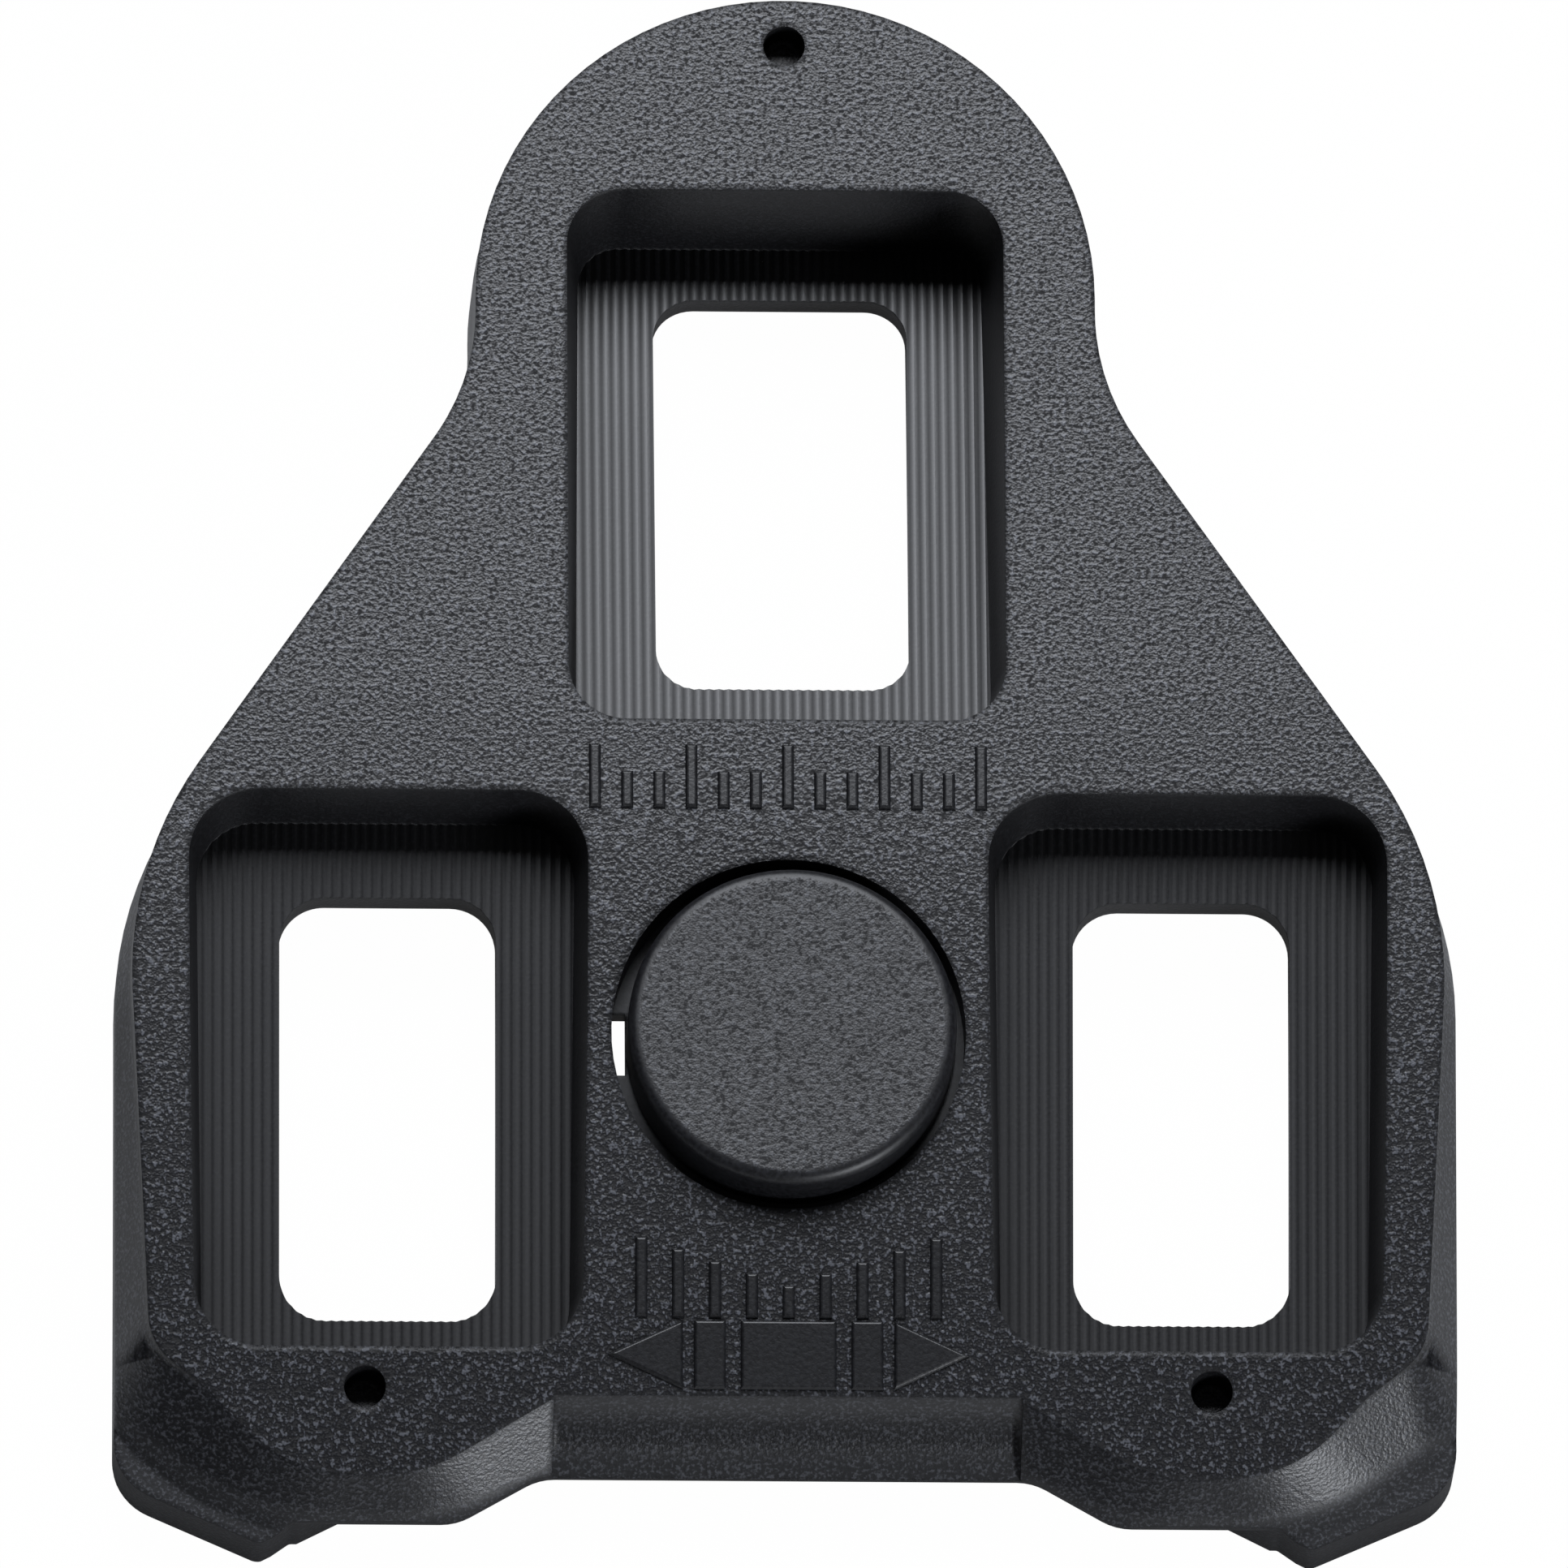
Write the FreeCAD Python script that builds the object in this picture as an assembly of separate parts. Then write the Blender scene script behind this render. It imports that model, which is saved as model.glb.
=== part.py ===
import FreeCAD
import Part
import math
import os

V = FreeCAD.Vector

# Road pedal cleat, millimetres. The shoe side lies on z = 0, the pedal side faces +Z,
# the nose points along +Y. The origin is the middle of the length and width, on the rest plane.
# Places in plan are shares of the length or width, or distances in from an end or a side,
# so that they follow those two sizes.

# overall size
length = 79.1
width = 67.3

# outline seen from the pedal side: round nose, waist, straight flank, shoulder, side
nose_share = 0.2325
waist_share = 0.245
waist_room = 0.84
shoulder_share = -0.0835
shoulder_r = 19.0

# heights
face_z = 10.8
ledge_z = 4.0
ramp_top_z = 7.4
wall_draft = 1.0

# pedal face: flat at the nose, then falling away to the rear
face_bend_share = 0.038
face_bend_r = 190.0

# shoe side: hollow along the length to fit a curved sole, between lands at both ends
sole_r = 150.0
sole_front_in = 5.5
sole_rear_in = 4.0

# nose lip, which the front hook of the pedal holds
lip_z = 4.5
lip_wall = 3.15
lip_in = 13.0

# rear: centre tab, two latch ledges and two outer spikes
tab_share = 0.184
tab_in = 3.4
ledge_in = 1.0
ledge_inner_share = 0.246
ledge_outer_share = 0.369
ledge_r = 0.4
spike_share = 0.391
spike_over = 0.05
spike_angle = 24.0
spike_r = 0.8
corner_r = 3.0
step_r = 3.0

# rear edge of the pedal face: slanting corners, a lobe behind each hole, straight centre
face_side_gap = 0.35
face_corner = {"in_x": 1.6, "in_y": 9.1}
lobe_heel = {"share": 0.366, "in_y": 3.4}
lobe_inner = {"share": 0.2785, "in_y": 3.3}
face_tab = {"share": 0.1704, "in_y": 6.7}
lobe_room = 0.9

# ramps from the face down to the ledges, as shares of the centre ramp's run
ramp_foot_z = 3.6
ramp_angle = 43.0
ramp_share = {"nose": 0.05, "flank": 0.05, "side": 0.6, "corner": 1.0, "heel": 0.72, "inner": 0.85,
              "centre": 1.0}
foot_gap = 0.05

# hollow of the ramp behind the centre of the face
trough_over = 0.3
trough_dip = 0.6

# latch room under the rear ledges
latch_z = 3.6
latch_in = 6.1
latch_share = 0.304
latch_angle = 27.0
latch_corner_r = 0.6

# washer pockets with a slotted, serrated floor; pocket_gap is what is left round them
pocket_draft = 6.5
floor_t = 1.6
tooth_pitch = 0.5
tooth_depth = 0.16
pocket_gap = {"pad": 1.12, "side": 3.53, "nose": 10.1, "rear": 8.7}
front_pocket = {"wall": 4.65, "y_share": 0.0198, "r": 2.9}
rear_pocket = {"y_share": -0.0276, "r": 3.6}
front_seat = {"side": 4.6, "rear": 3.05, "nose": 3.6, "r": 2.1}
rear_seat = {"inner": 4.48, "outer": 4.72, "rear": 2.9, "nose": 4.25, "r": 2.3}

# centre pad: a cap with a flange under the web of the body, loose in its bore
pad_share = -0.185
pad_shift = 0.15
pad_r = 8.25
bore_r = pad_r + 0.65
pad_top_z = 11.5
pad_bottom_z = 6.5
pad_roof = 1.6
pad_wall = 1.4
pad_boss_r = 2.2
pad_rim_r = 0.55
flange_r = pad_r + 1.05
flange_t = 1.2
flange_gap = 0.1
flange_room = 0.25
key_half = 1.2
key_gap = 0.4

# leaf spring under the pad, snapped into a slot of the shoe side
slot_half = 4.2
slot_reach = 12.2
slot_over = 0.3
notch_depth = 1.5
notch_z = 4.9
notch_h = 1.1
spring_t = 0.4
spring_w = 6.0
spring_gap = 0.1

# blind tooling holes in the pedal face
pin_r = 1.05
pin_depth = 2.4
nose_pin_in = 2.5
rear_pin = {"share": 0.3156, "in_y": 7.05}

# how far a cutting shape passes the surface it cuts through, and beyond the whole part
past = 1.0
far = 60.0

half_length = length / 2.0
half_width = width / 2.0
rear_y = -half_length
nose_r = width * nose_share
nose_y = half_length - foot_gap - nose_r
pad_y = length * pad_share
face_bend_y = length * face_bend_share


def corner(before, at, after, radius):
    """Tangent points and middle of the arc that rounds one corner."""
    to_a = (before - at).normalize()
    to_b = (after - at).normalize()
    half = to_a.getAngle(to_b) / 2.0
    reach = radius / math.tan(half)
    centre = at + (to_a + to_b).normalize() * (radius / math.sin(half))
    middle = centre + (at - centre).normalize() * radius
    return at + to_a * reach, middle, at + to_b * reach


def rounded(points, z, closed=True):
    """Edges along a list of (x, y, radius) corners; a radius of 0 keeps the corner."""
    spots = [V(x, y, z) for x, y, r in points]
    runs = []
    for i, (x, y, radius) in enumerate(points):
        ends = not closed and i in (0, len(points) - 1)
        if radius and not ends:
            runs.append(corner(spots[i - 1], spots[i], spots[(i + 1) % len(spots)], radius))
        else:
            runs.append((spots[i],))
    edges = []
    for i, run in enumerate(runs):
        if len(run) == 3:
            edges.append(Part.Arc(*run).toShape())
        if closed or i + 1 < len(runs):
            start, end = run[-1], runs[(i + 1) % len(runs)][0]
            if start.distanceToPoint(end) > 1e-6:
                edges.append(Part.LineSegment(start, end).toShape())
    return edges


def half_outline(side, rear):
    """Right-hand corners from the nose back: nose, waist, shoulder, then the given rear ones."""
    waist_y, shoulder_y = length * waist_share, length * shoulder_share
    slope = (waist_y - shoulder_y) / (half_width - nose_r)
    waist_r = waist_room * (nose_y - waist_y) / math.tan(math.atan(1.0 / slope) / 2.0)
    side_y = waist_y - (side - nose_r) * slope
    return [(nose_r, nose_y, 0), (nose_r, waist_y, waist_r), (side, side_y, shoulder_r)] + rear


def grown(half, offsets):
    """The same corners with the sides between them moved out, all alike or each by its own offset."""
    if not isinstance(offsets, list):
        offsets = [offsets] * (len(half) + 1)
    spots = [V(half[0][0], half_length, 0)] + [V(x, y, 0) for x, y, r in half] + [V(0, half[-1][1], 0)]
    moved = []
    for i, (x, y, radius) in enumerate(half):
        before = (spots[i + 1] - spots[i]).normalize()
        after = (spots[i + 2] - spots[i + 1]).normalize()
        turn = before.x * after.y - before.y * after.x
        if abs(turn) < 1e-9:
            shift = V(-before.y, before.x, 0) * offsets[i]
        else:
            shift = (before * offsets[i + 1] - after * offsets[i]) * (-1.0 / turn)
        if radius:
            radius -= math.copysign((offsets[i] + offsets[i + 1]) / 2.0, turn)
        moved.append((x + shift.x, y + shift.y, radius))
    return moved


def outline(half, z):
    """Closed outline through the corners of one side and their mirror image."""
    corners = half + [(-x, y, r) for x, y, r in reversed(half)]
    edges = rounded(corners, z, closed=False)
    nose = half[0][0]
    tip = Part.Arc(V(-nose, nose_y, z), V(0, nose_y + nose, z), V(nose, nose_y, z)).toShape()
    return Part.Wire(Part.__sortEdges__(edges + [tip]))


def base_half():
    """Outline at the shoe side: side, spike, two corners of the latch ledge, centre tab."""
    spike_x, spike_y = width * spike_share, rear_y - spike_over
    side_y = spike_y + (half_width - spike_x) * math.tan(math.radians(spike_angle))
    rear = [(half_width, side_y, corner_r), (spike_x, spike_y, spike_r),
            (width * ledge_outer_share, rear_y + ledge_in, ledge_r),
            (width * ledge_inner_share, rear_y + ledge_in, step_r),
            (width * tab_share, rear_y + tab_in, step_r)]
    return half_outline(half_width, rear)


def face_half():
    """Outline of the pedal face: side, two corners of the lobe, centre edge.
    The two arcs of a lobe share the run between its corners."""
    side = (half_width - face_corner["in_x"], rear_y + face_corner["in_y"])
    heel, inner, tab = [(width * at["share"], rear_y + at["in_y"]) for at in (lobe_heel, lobe_inner, face_tab)]
    ways = [math.atan2(b[1] - a[1], a[0] - b[0]) for a, b in ((side, heel), (heel, inner), (inner, tab))]
    reach = math.tan((ways[1] - ways[0]) / 2.0) + math.tan((ways[2] - ways[1]) / 2.0)
    lobe_r = lobe_room * (heel[0] - inner[0]) / reach
    rear = [(*side, corner_r), (*heel, lobe_r), (*inner, lobe_r), (*tab, 0)]
    return half_outline(half_width - face_side_gap, rear)


def prism(wire, height):
    return Part.Face(wire).extrude(V(0, 0, height))


def bar(corners, arcs, half_x):
    """Bar across the width. corners are (y, z); arcs maps a side's number to its middle point."""
    edges = []
    for i, (y, z) in enumerate(corners):
        start, end = V(-half_x, y, z), V(-half_x, *corners[(i + 1) % len(corners)])
        if i in arcs:
            edges.append(Part.Arc(start, V(-half_x, *arcs[i]), end).toShape())
        else:
            edges.append(Part.LineSegment(start, end).toShape())
    return Part.Face(Part.Wire(edges)).extrude(V(2 * half_x, 0, 0))


def rounded_box(x0, x1, y0, y1, radius, grow, z):
    """Rounded rectangle wire, grown by grow on every side."""
    west, east, south, north = x0 - grow, x1 + grow, y0 - grow, y1 + grow
    corners = [(west, south), (east, south), (east, north), (west, north)]
    return Part.Wire(rounded([(x, y, radius + grow) for x, y in corners], z))


# shoe side arc, as the circle of a sole that bulges into the cleat
sole_front_y = half_length - sole_front_in
sole_rear_y = rear_y + sole_rear_in
sole_mid = (sole_front_y + sole_rear_y) / 2.0
sole_centre_z = -math.sqrt(sole_r ** 2 - (sole_front_y - sole_mid) ** 2)


def sole_height(y):
    return sole_centre_z + math.sqrt(sole_r ** 2 - (y - sole_mid) ** 2)


def face_height(y):
    behind = min(y - face_bend_y, 0.0)
    return face_z - face_bend_r + math.sqrt(face_bend_r ** 2 - behind ** 2)


def blank():
    """The cleat's outer form before anything is cut from it: foot, ramps and upper block."""
    top_z = pad_top_z + past
    face = face_half()
    high = outline(face, ramp_top_z)
    foot = outline(grown(base_half(), foot_gap), 0.0)
    plate = prism(foot, ramp_foot_z)
    run = (ramp_top_z - ramp_foot_z) / math.tan(math.radians(ramp_angle))
    spread = [run * ramp_share[side] for side in ("nose",) + tuple(ramp_share)]
    low = outline(grown(face, spread), ramp_foot_z)
    ramp = Part.makeLoft([low, high], True, True).common(prism(foot, ramp_top_z))
    crown = outline(grown(face, (ramp_top_z - top_z) * math.tan(math.radians(wall_draft))), top_z)
    block = Part.makeLoft([high, crown], True, True)
    return plate.fuse([ramp, block])


def pedal_side():
    """Everything above the pedal face."""
    end_y = -far
    mid_y = (face_bend_y + end_y) / 2.0
    corners = [(far, face_z), (far, far), (end_y, far), (end_y, face_height(end_y)), (face_bend_y, face_z)]
    return bar(corners, {3: (mid_y, face_height(mid_y))}, far)


def shoe_side():
    """The bulge of the sole, which the shoe side is hollowed to fit."""
    corners = [(sole_front_y, 0.0), (sole_front_y, -far), (sole_rear_y, -far), (sole_rear_y, 0.0)]
    return bar(corners, {3: (sole_mid, sole_height(sole_mid))}, far)


def trough():
    """Hollow that makes the centre of the rear ramp concave."""
    top, foot = V(0, rear_y + face_tab["in_y"], ramp_top_z), V(0, rear_y + tab_in, ledge_z)
    inward = V(0, top.z - foot.z, foot.y - top.y).normalize()
    middle = (top + foot) / 2.0 + inward * trough_dip
    corners = [(top.y, top.z), (foot.y, foot.z), (foot.y - step_r, foot.z), (foot.y - step_r, top.z)]
    return bar(corners, {0: (middle.y, middle.z)}, width * face_tab["share"] + trough_over)


def floor_below(x0, x1, y0, y1):
    """What stays under a pocket: serrated along the length and level with the sole under it."""
    middle = (y0 + y1) / 2.0
    drop = (middle - sole_mid) / math.sqrt(sole_r ** 2 - (middle - sole_mid) ** 2)
    start, run = y0 - past, y1 - y0 + 2 * past
    crest = sole_height(middle) + floor_t + (middle - start) * drop
    teeth = math.ceil((x1 - x0) / tooth_pitch)
    points = [V(x0, start, -far)]
    for i in range(teeth):
        points.append(V(x0 + i * tooth_pitch, start, crest - tooth_depth))
        points.append(V(x0 + (i + 0.5) * tooth_pitch, start, crest))
    end_x = x0 + teeth * tooth_pitch
    points += [V(end_x, start, crest - tooth_depth), V(end_x, start, -far)]
    return Part.Face(Part.makePolygon(points + points[:1])).extrude(V(0, run, -run * drop))


def pocket(x0, x1, y0, y1, radius):
    """Tapered washer pocket down to its serrated floor."""
    taper = math.tan(math.radians(pocket_draft))
    top_z = pad_top_z + past
    deep = rounded_box(x0, x1, y0, y1, radius, -face_z * taper, 0.0)
    wide = rounded_box(x0, x1, y0, y1, radius, (top_z - face_z) * taper, top_z)
    return Part.makeLoft([deep, wide], True, True).cut(floor_below(x0, x1, y0, y1))


def pockets():
    """Cutting shapes of the three washer pockets and of the bolt slots in their floors."""
    half_x = nose_r - front_pocket["wall"]
    front = (-half_x, half_x, length * front_pocket["y_share"], half_length - pocket_gap["nose"])
    rear = (bore_r + pocket_gap["pad"], half_width - pocket_gap["side"], rear_y + pocket_gap["rear"],
            length * rear_pocket["y_share"])
    front_slot = rounded_box(front[0] + front_seat["side"], front[1] - front_seat["side"],
                             front[2] + front_seat["rear"], front[3] - front_seat["nose"],
                             front_seat["r"], 0.0, -past)
    rear_slot = rounded_box(rear[0] + rear_seat["inner"], rear[1] - rear_seat["outer"],
                            rear[2] + rear_seat["rear"], rear[3] - rear_seat["nose"],
                            rear_seat["r"], 0.0, -past)
    right = [pocket(*rear, rear_pocket["r"]), prism(rear_slot, face_z)]
    left = [tool.mirror(V(0, 0, 0), V(1, 0, 0)) for tool in right]
    return right + left + [pocket(*front, front_pocket["r"]), prism(front_slot, face_z)]


def lip_room():
    """Room for the pedal's front hook under the nose."""
    box = Part.makeBox(4 * nose_r, half_length, lip_z + past, V(-2 * nose_r, half_length - lip_in, -past))
    return box.cut(Part.makeCylinder(nose_r - lip_wall, far, V(0, nose_y, -far / 2.0)))


def latch_room():
    """Room for the pedal's rear latch under the two ledges and the tab."""
    slope = math.tan(math.radians(latch_angle))
    spike_x, latch_half = width * spike_share, width * latch_share
    inner_y, deep_y = rear_y + (spike_x - latch_half) * slope, rear_y + latch_in
    right = [(spike_x + past / slope, rear_y - past, 0), (latch_half, inner_y, latch_corner_r),
             (latch_half - past, deep_y, latch_corner_r)]
    left = [(-x, y, r) for x, y, r in reversed(right)]
    return prism(Part.Wire(rounded(right + left, -past)), latch_z + past)


def pad_room():
    """Bore for the pad, wider below for its flange, with a key on the left wall."""
    bore = Part.makeCylinder(bore_r, far, V(0, pad_y, -past))
    top_z = pad_bottom_z + flange_t + flange_gap
    below = Part.makeCylinder(flange_r + flange_room, top_z + past, V(0, pad_y, -past))
    key = Part.makeBox(far, 2 * key_half, far, V(-far, pad_y - key_half, -past))
    return bore.fuse(below.cut(key))


def spring_room():
    """Slot on the shoe side for the leaf spring, with a notch at each end."""
    low, long = pad_y - slot_reach, 2 * slot_reach
    slot = Part.makeBox(2 * slot_half, long, pad_bottom_z + slot_over + past, V(-slot_half, low, -past))
    notch = Part.makeBox(2 * slot_half, long + 2 * notch_depth, notch_h,
                         V(-slot_half, low - notch_depth, notch_z))
    return slot.fuse(notch)


def pin_holes():
    pin_x, pin_y = width * rear_pin["share"], rear_y + rear_pin["in_y"]
    spots = [(0.0, half_length - nose_pin_in), (pin_x, pin_y), (-pin_x, pin_y)]
    holes = [Part.makeCylinder(pin_r, far, V(x, y, face_height(y) - pin_depth)) for x, y in spots]
    return holes[0].fuse(holes[1:])


def cleat_body():
    return blank().cut([pedal_side(), shoe_side(), *pockets(), pad_room(), lip_room(), latch_room(),
                        spring_room(), pin_holes(), trough()])


def centre_pad():
    """Sprung button: a cup with a boss for the spring and a flange with a notch for the key."""
    tall = pad_top_z - pad_bottom_z
    foot = V(pad_shift, pad_y, pad_bottom_z)
    cup = Part.makeCylinder(pad_r, tall, foot)
    cup = cup.makeFillet(pad_rim_r, [e for e in cup.Edges if e.BoundBox.ZMin > pad_top_z - 1e-6])
    hollow = Part.makeCylinder(pad_r - pad_wall, tall - pad_roof, foot)
    boss = Part.makeCylinder(pad_boss_r, tall - pad_roof, foot)
    flange = Part.makeCylinder(flange_r, flange_t, foot).cut(Part.makeCylinder(pad_r - pad_wall, far, foot))
    notch_half = key_half + key_gap
    notch = Part.makeBox(far, 2 * notch_half, far, V(-far - pad_r + pad_shift, pad_y - notch_half, 0))
    return cup.cut(hollow).fuse([boss, flange.cut(notch)])


def pad_spring():
    """Bowed leaf: its ends sit in the notches and its crown is just under the pad."""
    end = slot_reach + notch_depth - spring_gap
    foot_z = notch_z + spring_gap
    crown_z = pad_bottom_z - spring_gap - spring_t
    low = [V(-spring_w / 2.0, pad_y + y, z) for y, z in ((-end, foot_z), (0.0, crown_z), (end, foot_z))]
    high = [p + V(0, 0, spring_t) for p in low]
    edges = [Part.Arc(*low).toShape(), Part.LineSegment(low[2], high[2]).toShape(),
             Part.Arc(*reversed(high)).toShape(), Part.LineSegment(high[0], low[0]).toShape()]
    return Part.Face(Part.Wire(edges)).extrude(V(spring_w, 0, 0))


os.makedirs("parts", exist_ok=True)
for make in (cleat_body, centre_pad, pad_spring):
    shape = make().removeSplitter()
    solid = shape.Solids[0]
    print(make.__name__, len(shape.Solids), solid.isValid(), round(solid.Volume, 1), solid.BoundBox)
    solid.exportStep("parts/" + make.__name__ + ".step")
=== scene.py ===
from math import asin, pi, sqrt

import bmesh
import bpy
from mathutils import Matrix, Vector


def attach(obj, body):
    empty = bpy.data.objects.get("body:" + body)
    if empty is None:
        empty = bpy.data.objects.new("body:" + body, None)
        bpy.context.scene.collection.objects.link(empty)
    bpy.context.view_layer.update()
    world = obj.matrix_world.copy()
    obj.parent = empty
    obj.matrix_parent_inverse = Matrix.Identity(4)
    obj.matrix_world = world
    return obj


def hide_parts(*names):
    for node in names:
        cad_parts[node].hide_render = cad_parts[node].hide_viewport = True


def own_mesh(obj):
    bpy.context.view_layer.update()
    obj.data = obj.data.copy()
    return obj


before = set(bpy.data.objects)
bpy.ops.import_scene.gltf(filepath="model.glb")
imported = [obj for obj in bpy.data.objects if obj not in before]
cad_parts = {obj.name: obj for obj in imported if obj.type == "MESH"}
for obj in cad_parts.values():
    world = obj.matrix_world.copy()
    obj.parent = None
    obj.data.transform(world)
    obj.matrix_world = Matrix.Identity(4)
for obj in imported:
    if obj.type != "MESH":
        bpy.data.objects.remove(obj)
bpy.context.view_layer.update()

mm = 0.001
print("cleat: frame loaded")

# the pedal face in millimetres: flat at the nose, then an arc that falls to the rear
pedalFace = {"height": 10.8, "bendStart": 3.006, "bendRadius": 190.0}


def faceHeight(y):
    behind = min(y - pedalFace["bendStart"], 0.0)
    radius = pedalFace["bendRadius"]
    return pedalFace["height"] - radius + sqrt(radius ** 2 - behind ** 2)


class Value:
    # a node's output that can stand in an expression
    def __init__(self, nodes, socket):
        self.nodes = nodes
        self.socket = socket

    def join(self, operation, *terms):
        return self.nodes.add("ShaderNodeMath", {"operation": operation}, dict(enumerate(terms)))

    def __add__(self, other):
        return self.join("ADD", self, other)

    def __radd__(self, other):
        return self.join("ADD", other, self)

    def __sub__(self, other):
        return self.join("SUBTRACT", self, other)

    def __rsub__(self, other):
        return self.join("SUBTRACT", other, self)

    def __mul__(self, other):
        return self.join("MULTIPLY", self, other)

    def __rmul__(self, other):
        return self.join("MULTIPLY", other, self)

    def root(self):
        return self.join("SQRT", self)

    def cosine(self):
        return self.join("COSINE", self)

    def largest(self, other):
        return self.join("MAXIMUM", self, other)

    def smallest(self, other):
        return self.join("MINIMUM", self, other)

    def step(self, low, high):  # 0 at low and 1 at high, smooth between; low may be the larger number
        ends = {"Value": self, "From Min": low, "From Max": high}
        return self.nodes.add("ShaderNodeMapRange", {"interpolation_type": "SMOOTHSTEP"}, ends)

    def axis(self, name):
        return self.nodes.add("ShaderNodeSeparateXYZ", {}, {0: self}, name)


class Nodes:
    # the node tree of a material or world, empty at first
    def __init__(self, owner):
        owner.use_nodes = True
        self.tree = owner.node_tree
        self.tree.nodes.clear()

    def add(self, kind, settings, sockets, out=0):
        node = self.tree.nodes.new(kind)
        for name, value in settings.items():
            setattr(node, name, value)
        for name, value in sockets.items():
            if isinstance(value, Value):
                self.tree.links.new(value.socket, node.inputs[name])
            else:
                node.inputs[name].default_value = value
        return Value(self, node.outputs[out]) if node.outputs else None

    def place(self):  # object coordinates in millimetres
        spot = self.add("ShaderNodeTexCoord", {}, {}, "Object")
        return self.add("ShaderNodeVectorMath", {"operation": "SCALE"}, {0: spot, "Scale": 1.0 / mm})

    def noise(self, place, size, detail, roughness=0.6):  # blobs about half of size across, around 0.5
        sockets = {"Vector": place, "Scale": 1.0 / size, "Detail": detail, "Roughness": roughness}
        return self.add("ShaderNodeTexNoise", {}, sockets)

    def specks(self, place, spacing, radius, share):  # round dots in that share of the cells, 0 to 1
        cell = {"Vector": place, "Scale": 1.0 / spacing}
        away = self.add("ShaderNodeTexVoronoi", {}, cell, "Distance")
        chance = self.add("ShaderNodeTexVoronoi", {}, cell, "Color").axis("X")
        return away.step(radius / spacing, 0.6 * radius / spacing) * chance.step(1.0 - share, 1.0 - 0.9 * share)

    def blend(self, share, first, second):
        return self.add("ShaderNodeMix", {"data_type": "RGBA"}, {0: share, 6: first, 7: second}, 2)

    def turn(self, share, first, second):  # the same for directions
        return self.add("ShaderNodeMix", {"data_type": "VECTOR"}, {0: share, 4: first, 5: second}, 1)

    def bump(self, height, normal):  # height in millimetres
        return self.add("ShaderNodeBump", {}, {"Height": height, "Distance": mm, "Normal": normal})

    def surface(self, sockets):
        shader = self.add("ShaderNodeBsdfPrincipled", {}, sockets)
        self.add("ShaderNodeOutputMaterial", {}, {"Surface": shader})


def newMaterial(name):
    material = bpy.data.materials.new(name)
    return material, Nodes(material)


# the photographer's place: almost straight above, a little behind the cleat and to its left
camera = {"lens": 1500.0, "sensor": 36.0, "fieldWidth": 78.86, "aim": (0.045, -0.05, 5.0),
          "back": (-0.0411, -0.2922, 0.9555), "roll": 0.0055}


def makeCamera(spec):
    data = bpy.data.cameras.new("photoCamera")
    data.sensor_width = spec["sensor"]
    data.lens = spec["lens"]
    away = spec["fieldWidth"] * mm * spec["lens"] / spec["sensor"]
    data.clip_start = away * 0.5
    data.clip_end = away * 2.0
    back = Vector(spec["back"]).normalized()
    level = (Vector((0, 1, 0)) - back * back.y).normalized()
    up = (level + level.cross(back) * spec["roll"]).normalized()
    turn = Matrix((up.cross(back), up, back)).transposed().to_4x4()
    holder = bpy.data.objects.new("photoCamera", data)
    holder.matrix_world = Matrix.Translation(Vector(spec["aim"]) * mm + back * away) @ turn
    bpy.context.scene.collection.objects.link(holder)
    bpy.context.scene.camera = holder


makeCamera(camera)

# a large softbox beyond the nose, a small lamp low at the right rear, and little else
studio = {
    "floorSize": 6.0, "floorColour": (0.8, 0.8, 0.8, 1.0), "floorRoughness": 0.9, "card": 0.99, "mirrorCard": 0.12,
    "air": (0.5, 0.5, 0.52, 1.0), "airStrength": 0.08, "white": (1.0, 1.0, 1.0, 1.0),
}
lamps = {
    "noseSoftbox": {"from": (0.0, 0.44, 0.61), "size": (0.5, 0.4), "watts": 5.9, "colour": (0.91, 0.94, 1.0)},
    "rearRight": {"from": (0.42, -0.62, 0.30), "size": (0.2, 0.2), "watts": 3.6, "colour": (0.92, 0.95, 1.0)},
}


def makeLamps(specs):
    for name, spec in specs.items():
        data = bpy.data.lights.new(name, "AREA")
        data.shape = "RECTANGLE"
        data.size, data.size_y = spec["size"]
        data.energy = spec["watts"]
        data.color = spec["colour"]
        lamp = bpy.data.objects.new(name, data)
        lamp.location = spec["from"]
        lamp.rotation_euler = (-Vector(spec["from"])).to_track_quat("-Z", "Y").to_euler()
        bpy.context.scene.collection.objects.link(lamp)


def makeFloor(spec):
    # pale paper for the lamps, a white card for the camera and a dim one for mirrored rays
    bm = bmesh.new()
    bmesh.ops.create_grid(bm, x_segments=1, y_segments=1, size=spec["floorSize"] / 2.0)
    mesh = bpy.data.meshes.new("studioFloor")
    bm.to_mesh(mesh)
    bm.free()
    floor = bpy.data.objects.new("studioFloor", mesh)
    bpy.context.scene.collection.objects.link(floor)
    material, nodes = newMaterial("paleFloor")
    sockets = {"Base Color": spec["floorColour"], "Roughness": spec["floorRoughness"], "Specular IOR Level": 0.0}
    paper = nodes.add("ShaderNodeBsdfPrincipled", {}, sockets)
    card = nodes.add("ShaderNodeEmission", {}, {})
    path = "ShaderNodeLightPath"
    mirrored = nodes.add(path, {}, {}, "Is Glossy Ray").largest(nodes.add(path, {}, {}, "Is Transmission Ray"))
    seen = (nodes.add(path, {}, {}, "Is Camera Ray") * spec["card"]).largest(mirrored * spec["mirrorCard"])
    both = nodes.add("ShaderNodeMixShader", {}, {0: seen, 1: paper, 2: card})
    nodes.add("ShaderNodeOutputMaterial", {}, {"Surface": both})
    mesh.materials.append(material)


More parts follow.
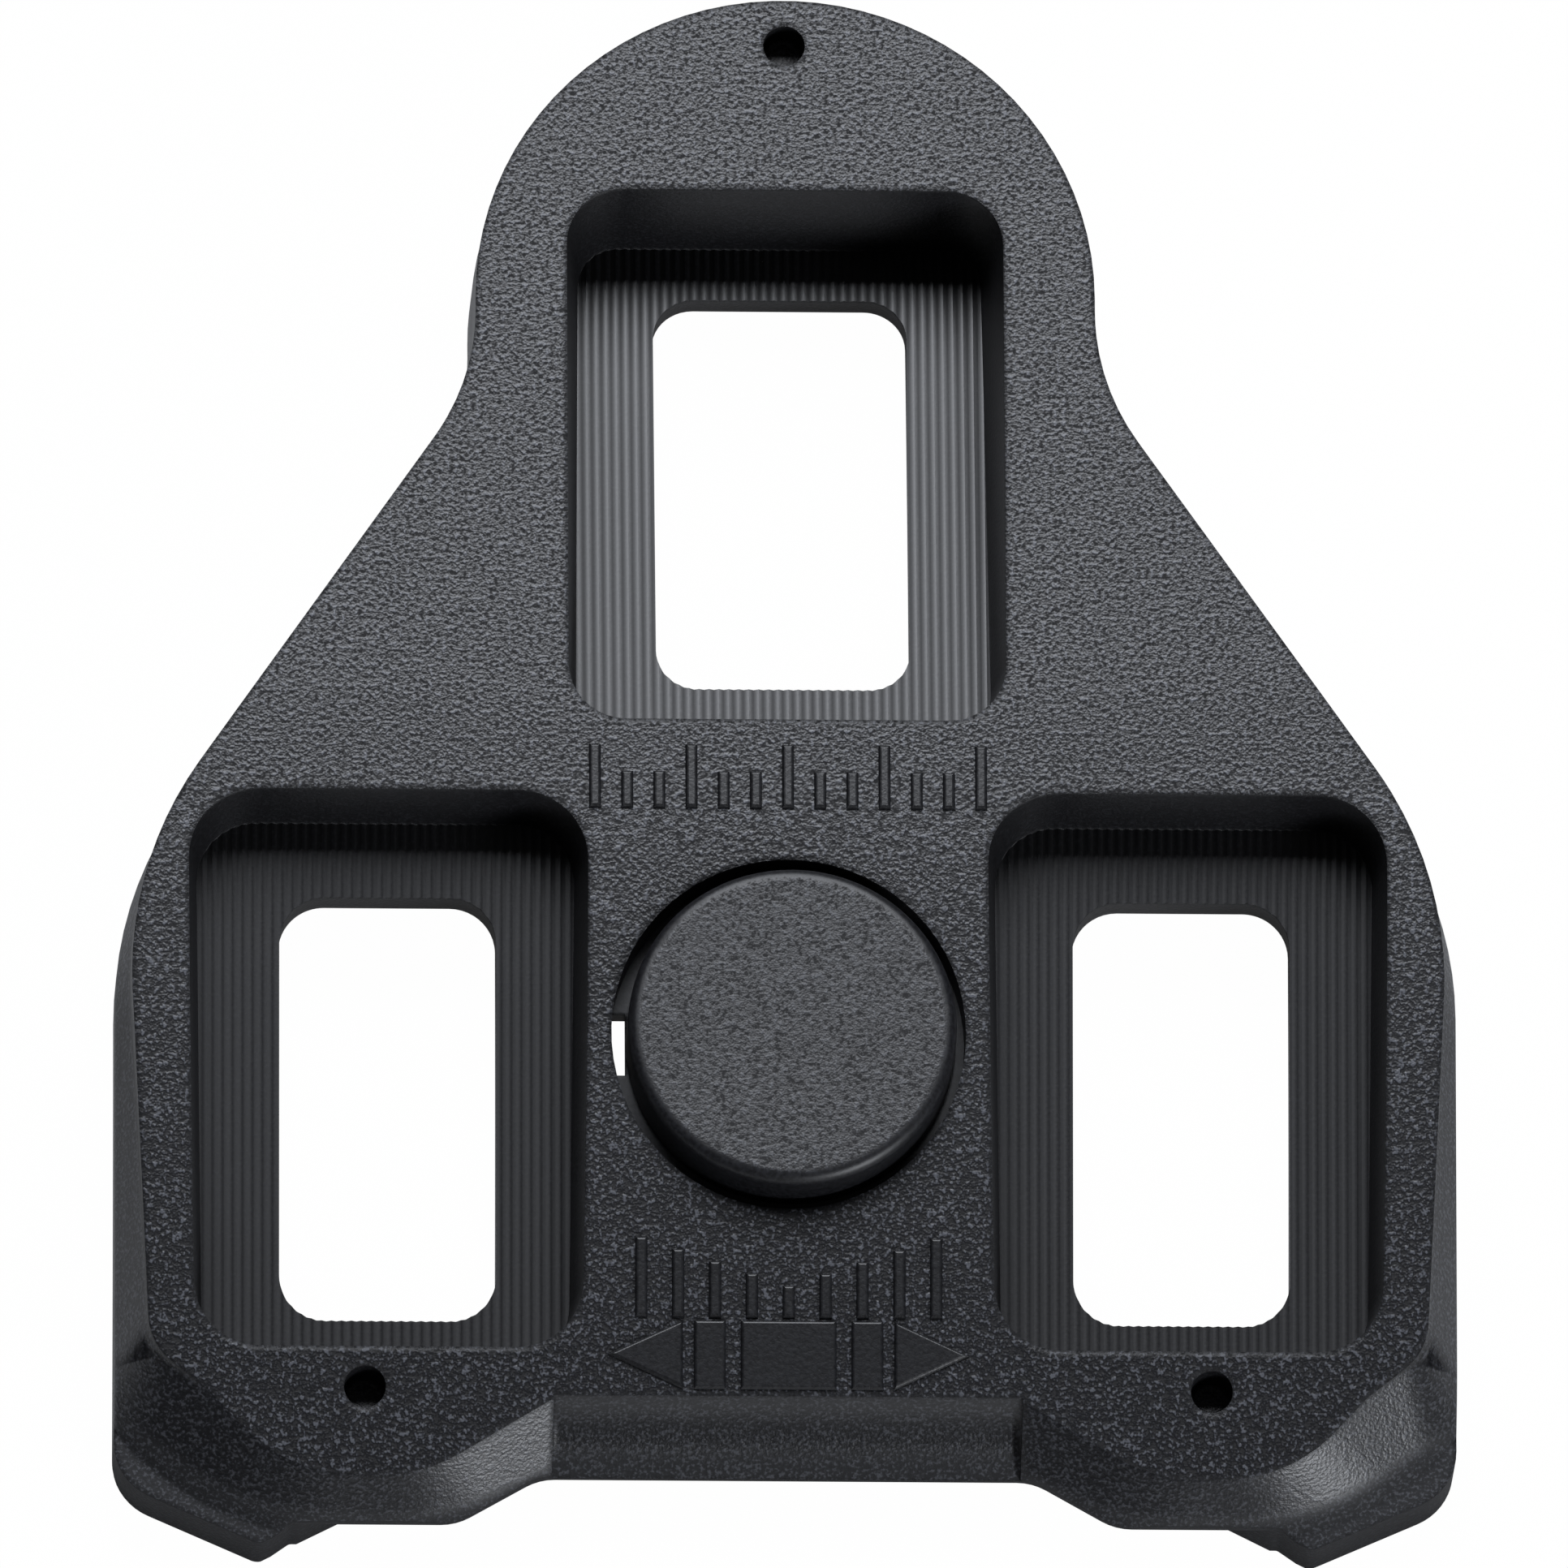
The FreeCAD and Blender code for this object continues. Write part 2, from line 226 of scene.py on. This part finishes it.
def makeWorld(spec):
    world = bpy.data.worlds.new("studioWorld")
    nodes = Nodes(world)
    air = nodes.add("ShaderNodeBackground", {}, {"Color": spec["air"], "Strength": spec["airStrength"]})
    card = nodes.add("ShaderNodeBackground", {}, {"Color": spec["white"]})
    seen = nodes.add("ShaderNodeLightPath", {}, {}, "Is Camera Ray")
    both = nodes.add("ShaderNodeMixShader", {}, {0: seen, 1: air, 2: card})
    nodes.add("ShaderNodeOutputWorld", {}, {"Surface": both})
    bpy.context.scene.world = world


makeLamps(lamps)
makeFloor(studio)
makeWorld(studio)
bpy.context.scene.view_settings.view_transform = "Standard"
print("cleat: camera and studio ready")

# black plastic: coarse spark-eroded grain on the pedal face, fine grain on ramps and outer walls, and nearly
# smooth washer floors with dull grooves; sizes, depths and heights in millimetres. A pair is where a smooth
# step starts and where it ends, and a level is how much a surface faces up
# the grain's colours are painted light and shade: a dark one for the low grains, a lighter one for the high grains
# and a pale painted glint for highlights
bodyLook = {
    "paintedPitShade": (0.003, 0.003, 0.004, 1.0), "crest": (0.014, 0.0145, 0.017, 1.0), "glint": (0.09, 0.094, 0.108, 1.0),
    "ior": 1.5, "detail": 1.0, "dull": 0.4,
    "faceDrop": (0.35, 0.12), "faceLevel": (0.7, 0.9), "faceGrain": 0.22, "faceDepth": 0.052,
    "faceShadeRange": (0.33, 0.67), "facePits": (0.46, 0.30), "faceGlints": (0.54, 0.70), "roughness": 0.36,
    "wallLevel": (0.45, 0.2), "wallGrain": 0.18, "wallDepth": 0.025, "wallRoughness": 0.5, "wallGrainLost": 0.8,
    "rampShade": (0.25, 0.75), "rampShadeShare": 0.7, "rampShadeLeast": 0.15, "rampGlints": (0.48, 0.72),
    "rampGlintShare": 0.5,
    "floorTop": (7.2, 6.9), "floorRear": (-31.0, -30.8), "floorLevel": (0.5, 0.7), "floorDepth": 0.003,
    "floorGrainLost": 0.9, "frontFloor": (0.05, 0.06, 1.0), "rearFloor": (0.05, -0.06, 1.0),
    "frontFrom": (0.0, 2.0), "floorEven": 0.85, "groovePitch": 0.5, "grooveShade": 0.22, "floorGloss": 0.07,
    "footFrom": (-33.0, -35.0), "footTop": (5.0, 4.0),
    "rimRound": 0.45, "rimSamples": 4, "rimLine": (0.95, 0.80),
    "dustSpacing": 4.5, "dustRadius": 0.08, "dustShare": 0.08, "dust": (0.16, 0.16, 0.15, 1.0),
    "poreSpacing": 3.0, "poreRadius": 0.07, "poreShare": 0.3, "poreDepth": 0.05,
}


def makeBodyFinish(look):
    material, nodes = newMaterial("sparkErodedPlastic")
    place = nodes.place()
    level = nodes.add("ShaderNodeTexCoord", {}, {}, "Normal").axis("Z")
    x, y, z = place.axis("X"), place.axis("Y"), place.axis("Z")

    # the parts of the moulding, each as a share from 0 to 1
    behind = (y - pedalFace["bendStart"]).smallest(0.0)
    radius = pedalFace["bendRadius"]
    below = (radius ** 2 - behind * behind).root() + (pedalFace["height"] - radius) - z
    onFace = below.step(*look["faceDrop"]) * level.step(*look["faceLevel"])
    inPocket = z.step(*look["floorTop"]) * y.step(*look["floorRear"])
    onFloor = inPocket * level.step(*look["floorLevel"])
    steep = level.step(*look["wallLevel"])
    foot = y.step(*look["footFrom"]) * z.step(*look["footTop"])
    offFace = 1.0 - onFace
    onRamp = offFace * (1.0 - onFloor * look["floorGrainLost"]) * (1.0 - steep * look["wallGrainLost"])

    # edges are rounded in the shading alone, and the floors' teeth are evened out
    true = nodes.add("ShaderNodeNewGeometry", {}, {}, "Normal")
    rounded = nodes.add("ShaderNodeBevel", {"samples": look["rimSamples"]}, {"Radius": look["rimRound"] * mm})
    rim = rounded.axis("Z").step(*look["rimLine"]) * onFace
    way = nodes.turn(y.step(*look["frontFrom"]), look["rearFloor"], look["frontFloor"])
    evened = nodes.turn(onFloor * look["floorEven"], true, way)
    coarse = nodes.noise(place, look["faceGrain"], look["detail"])
    fine = nodes.noise(place, look["wallGrain"], look["detail"])
    fineDepth = look["wallDepth"] - onFloor * (look["wallDepth"] - look["floorDepth"])
    pores = nodes.specks(place, look["poreSpacing"], look["poreRadius"], look["poreShare"]) * onFloor
    height = onFace * coarse * look["faceDepth"] + offFace * fine * fineDepth - pores * look["poreDepth"]
    normal = nodes.bump(height, nodes.turn(onFloor, rounded, evened))

    # painted shade and light: low grains and pits get a darker colour and high grains a lighter one, painted glints
    # sit on the highest grains, and pits are duller
    rampShade = fine.step(*look["rampShade"]) * look["rampShadeShare"] + look["rampShadeLeast"]
    shadeAndTone = onFace * coarse.step(*look["faceShadeRange"]) + onRamp * rampShade
    # painted highlights: the highest grains get a pale colour standing for glints of light, left off the face's
    # rounded rims
    faceGlints = onFace * (1.0 - rim) * coarse.step(*look["faceGlints"])
    glints = faceGlints + onRamp * fine.step(*look["rampGlints"]) * look["rampGlintShare"]
    dusty = nodes.specks(place, look["dustSpacing"], look["dustRadius"], look["dustShare"])
    colour = nodes.blend(shadeAndTone, look["paintedPitShade"], look["crest"])
    colour = nodes.blend(glints, colour, look["glint"])
    colour = nodes.blend(dusty, colour, look["dust"])
    groove = (x * (2.0 * pi / look["groovePitch"])).cosine() * 0.5 + 0.5
    rough = look["roughness"] + steep * (look["wallRoughness"] - look["roughness"])
    rough = rough + onFloor * (groove * look["grooveShade"] - look["floorGloss"])
    rough = rough + (onFace * coarse.step(*look["facePits"]) + foot + rim) * look["dull"]
    nodes.surface({"Base Color": colour, "Roughness": rough, "Normal": normal, "IOR": look["ior"]})
    return material


def dress(node, material):
    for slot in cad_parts[node].material_slots:
        slot.material = material


dress("cleat_body", makeBodyFinish(bodyLook))
print("cleat: body finished")

# the pad's disc has a finer grain than the face, and a smooth rounded rim; places and sizes in millimetres
padLook = {
    "centre": (0.15, -14.634), "paintedPitShade": (0.003, 0.003, 0.004, 1.0), "crest": (0.013, 0.0135, 0.016, 1.0),
    "glint": (0.08, 0.084, 0.095, 1.0), "ior": 1.5, "roughness": 0.42, "grain": 0.20, "detail": 1.0,
    "depth": 0.035, "rimDepthShare": 0.1, "disc": (7.85, 7.55), "shadeAndTone": (0.3, 0.7), "glints": (0.54, 0.76),
    "glintShare": 0.7, "pits": (0.46, 0.30), "dull": 0.3, "rimRound": 0.2, "rimSamples": 4,
}


def makePadFinish(look):
    material, nodes = newMaterial("fineGrainPlastic")
    place = nodes.place()
    across, along = place.axis("X") - look["centre"][0], place.axis("Y") - look["centre"][1]
    onDisc = (across * across + along * along).root().step(*look["disc"])
    grain = nodes.noise(place, look["grain"], look["detail"])
    rounded = nodes.add("ShaderNodeBevel", {"samples": look["rimSamples"]}, {"Radius": look["rimRound"] * mm})
    depth = (onDisc * (1.0 - look["rimDepthShare"]) + look["rimDepthShare"]) * look["depth"]
    normal = nodes.bump(grain * depth, rounded)
    # painted shade and light: low grains darker, high grains lighter, and painted glints on the disc's highest
    # grains
    colour = nodes.blend(grain.step(*look["shadeAndTone"]), look["paintedPitShade"], look["crest"])
    colour = nodes.blend(grain.step(*look["glints"]) * onDisc * look["glintShare"], colour, look["glint"])
    rough = look["roughness"] + grain.step(*look["pits"]) * onDisc * look["dull"]
    nodes.surface({"Base Color": colour, "Roughness": rough, "Normal": normal, "IOR": look["ior"]})
    return material


dress("centre_pad", makePadFinish(padLook))
print("cleat: pad finished")


def finishPiece(name, bm, material):
    # a made piece rides with the moulding, and is handed back for anything else said of it
    bmesh.ops.recalc_face_normals(bm, faces=bm.faces)
    mesh = bpy.data.meshes.new(name)
    bm.to_mesh(mesh)
    bm.free()
    mesh.materials.append(material)
    piece = bpy.data.objects.new(name, mesh)
    bpy.context.scene.collection.objects.link(piece)
    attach(piece, "cleat")
    return piece


# raised marks of the pedal face: an adjusting scale before the pad, a graduated one behind it,
# and the figure of the cleat's sideways play; places, widths and heights in millimetres
marksLook = {
    "paintedPitShade": (0.006, 0.006, 0.007, 1.0), "crest": (0.014, 0.0145, 0.0165, 1.0), "ior": 1.5, "roughness": 0.40,
    "shadeAndTone": (0.3, 0.7), "grain": 0.22, "detail": 2.0, "depth": 0.02, "sink": 0.3, "rise": 0.24,
    "round": 0.16, "roundSteps": 3,
    "scale": {"half": 9.7, "ticks": 13, "tickWidth": 0.6, "low": -3.1, "long": 3.3, "short": 1.9, "longEvery": 3},
    "grades": {"half": 7.4, "ticks": 9, "tickWidth": 0.62, "low": -29.0, "long": 4.0, "short": 1.6},
    "play": {"low": -32.55, "high": -29.15, "tip": 9.05, "heads": 5.3, "bars": (4.75, 3.15), "block": 2.4},
}


def makeMarksFinish(look):
    material, nodes = newMaterial("reliefPlastic")
    grain = nodes.noise(nodes.place(), look["grain"], look["detail"])
    true = nodes.add("ShaderNodeNewGeometry", {}, {}, "Normal")
    # painted shade and light: the grain's low parts darker and its high parts lighter
    colour = nodes.blend(grain.step(*look["shadeAndTone"]), look["paintedPitShade"], look["crest"])
    normal = nodes.bump(grain * look["depth"], true)
    nodes.surface({"Base Color": colour, "Roughness": look["roughness"], "Normal": normal, "IOR": look["ior"]})
    return material


def raiseMark(bm, corners, look):
    # one flat mark with rounded upper edges, from its corners in order
    foot = bm.faces.new([bm.verts.new((x * mm, y * mm, -look["sink"] * mm)) for x, y in corners])
    lifted = bmesh.ops.extrude_face_region(bm, geom=[foot])["geom"]
    corners = [item for item in lifted if isinstance(item, bmesh.types.BMVert)]
    rim = [item for item in lifted if isinstance(item, bmesh.types.BMEdge)]
    bmesh.ops.translate(bm, vec=(0.0, 0.0, (look["sink"] + look["rise"]) * mm), verts=corners)
    bmesh.ops.bevel(bm, geom=rim, offset=look["round"] * mm, offset_type="OFFSET", affect="EDGES",
                    segments=look["roundSteps"], profile=0.5, material=-1)


def box(x0, x1, y0, y1):
    return [(x0, y0), (x1, y0), (x1, y1), (x0, y1)]


def finishMark(name, bm, finish):
    # laid on the face and put with the body
    for vert in bm.verts:
        vert.co.z += faceHeight(vert.co.y / mm) * mm
    finishPiece(name, bm, finish)


def makeTicks(name, spec, heights, look, finish):
    bm = bmesh.new()
    low, last = spec["low"], len(heights) - 1
    for i, height in enumerate(heights):
        x = spec["half"] * (2.0 * i / last - 1.0)
        raiseMark(bm, box(x - spec["tickWidth"] / 2.0, x + spec["tickWidth"] / 2.0, low, low + height), look)
    finishMark(name, bm, finish)


def makeScale(look, finish):
    spec = look["scale"]
    heights = [spec["short"] if i % spec["longEvery"] else spec["long"] for i in range(spec["ticks"])]
    makeTicks("adjustingScale", spec, heights, look, finish)


def makeGrades(look, finish):
    # the ticks grow evenly from the middle outwards
    spec = look["grades"]
    last, growth = spec["ticks"] - 1, spec["long"] - spec["short"]
    heights = [spec["short"] + growth * abs(2.0 * i / last - 1.0) for i in range(spec["ticks"])]
    makeTicks("gradedScale", spec, heights, look, finish)


def makePlayFigure(look, finish):
    bm = bmesh.new()
    spec = look["play"]
    low, high = spec["low"], spec["high"]
    raiseMark(bm, box(-spec["block"], spec["block"], low, high), look)
    for side in (-1.0, 1.0):
        raiseMark(bm, box(*sorted((side * spec["bars"][0], side * spec["bars"][1])), low, high), look)
        head = [(side * spec["tip"], (low + high) / 2.0), (side * spec["heads"], high), (side * spec["heads"], low)]
        raiseMark(bm, head if side > 0 else head[::-1], look)
    finishMark("playFigure", bm, finish)


marksFinish = makeMarksFinish(marksLook)
makeScale(marksLook, marksFinish)
makeGrades(marksLook, marksFinish)
makePlayFigure(marksLook, marksFinish)
print("cleat: raised marks ready")

# the leaf spring under the pad, bowed between its two notches; places and sizes in millimetres
springLook = {
    "halfWidth": 3.0, "thick": 0.4, "reach": 13.6, "crown": 6.0, "rise": 1.0, "steps": 28, "padY": -14.634,
    "endRound": 1.2, "endSteps": 5, "endZone": 0.3, "edgeRound": 0.06, "edgeSteps": 2, "sharpAngle": 0.9,
    "steel": (0.50, 0.50, 0.51, 1.0), "dull": (0.36, 0.36, 0.37, 1.0), "shadeAndTone": (0.3, 0.7), "roughness": 0.30,
    "roughnessSpread": 0.2, "streakWidth": 0.08, "streakLength": 6.0, "streakDetail": 2.0,
    "streakRoughness": 0.5, "streakDepth": 0.004, "notchFloor": 0.005, "keep": 0.29,
}


def makeSpringFinish(look):
    material, nodes = newMaterial("rolledSpringSteel")
    spot = nodes.add("ShaderNodeTexCoord", {}, {}, "Object")
    across, along = 1.0 / (look["streakWidth"] * mm), 1.0 / (look["streakLength"] * mm)
    drawn = nodes.add("ShaderNodeMapping", {}, {"Vector": spot, "Scale": (across, along, across)})
    streaks = nodes.noise(drawn, 1.0, look["streakDetail"], look["streakRoughness"])
    true = nodes.add("ShaderNodeNewGeometry", {}, {}, "Normal")
    colour = nodes.blend(streaks.step(*look["shadeAndTone"]), look["dull"], look["steel"])
    rough = look["roughness"] + (streaks - 0.5) * look["roughnessSpread"]
    normal = nodes.bump(streaks * look["streakDepth"], true)
    nodes.surface({"Base Color": colour, "Metallic": 1.0, "Roughness": rough, "Normal": normal})
    return material


def makeSpring(look):
    # the section under the pad is turned to one end and spun to the other
    radius = (look["reach"] ** 2 + look["rise"] ** 2) / (2.0 * look["rise"])
    half = asin(look["reach"] / radius)
    centre = Vector((0.0, look["padY"], look["crown"] - radius)) * mm
    bm = bmesh.new()
    section = [(-look["halfWidth"], 0.0), (look["halfWidth"], 0.0), (look["halfWidth"], look["thick"]),
               (-look["halfWidth"], look["thick"])]
    end = bm.faces.new([bm.verts.new((x * mm, look["padY"] * mm, (look["crown"] + up) * mm)) for x, up in section])
    bmesh.ops.rotate(bm, cent=centre, matrix=Matrix.Rotation(half, 3, "X"), verts=end.verts)
    bmesh.ops.spin(bm, geom=[end] + list(end.edges) + list(end.verts), cent=centre, axis=(1.0, 0.0, 0.0),
                   angle=-2.0 * half, steps=look["steps"], use_merge=False, use_duplicate=False)
    bmesh.ops.remove_doubles(bm, verts=bm.verts, dist=1e-6)
    upright = [edge for edge in bm.edges if edge.calc_length() < look["thick"] * 1.1 * mm]
    farOut = (look["reach"] - look["endZone"]) * mm
    corners = [edge for edge in upright if abs(edge.verts[0].co.y - look["padY"] * mm) > farOut]
    bmesh.ops.bevel(bm, geom=corners, offset=look["endRound"] * mm, offset_type="OFFSET", affect="EDGES",
                    segments=look["endSteps"], profile=0.5, material=-1)
    sharp = [edge for edge in bm.edges if edge.is_manifold and edge.calc_face_angle() > look["sharpAngle"]]
    bmesh.ops.bevel(bm, geom=sharp, offset=look["edgeRound"] * mm, offset_type="OFFSET", affect="EDGES",
                    segments=look["edgeSteps"], profile=0.5, material=-1)
    spring = finishPiece("leafSpring", bm, makeSpringFinish(look))
    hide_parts("pad_spring")
    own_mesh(spring)


makeSpring(springLook)
print("cleat: leaf spring ready")
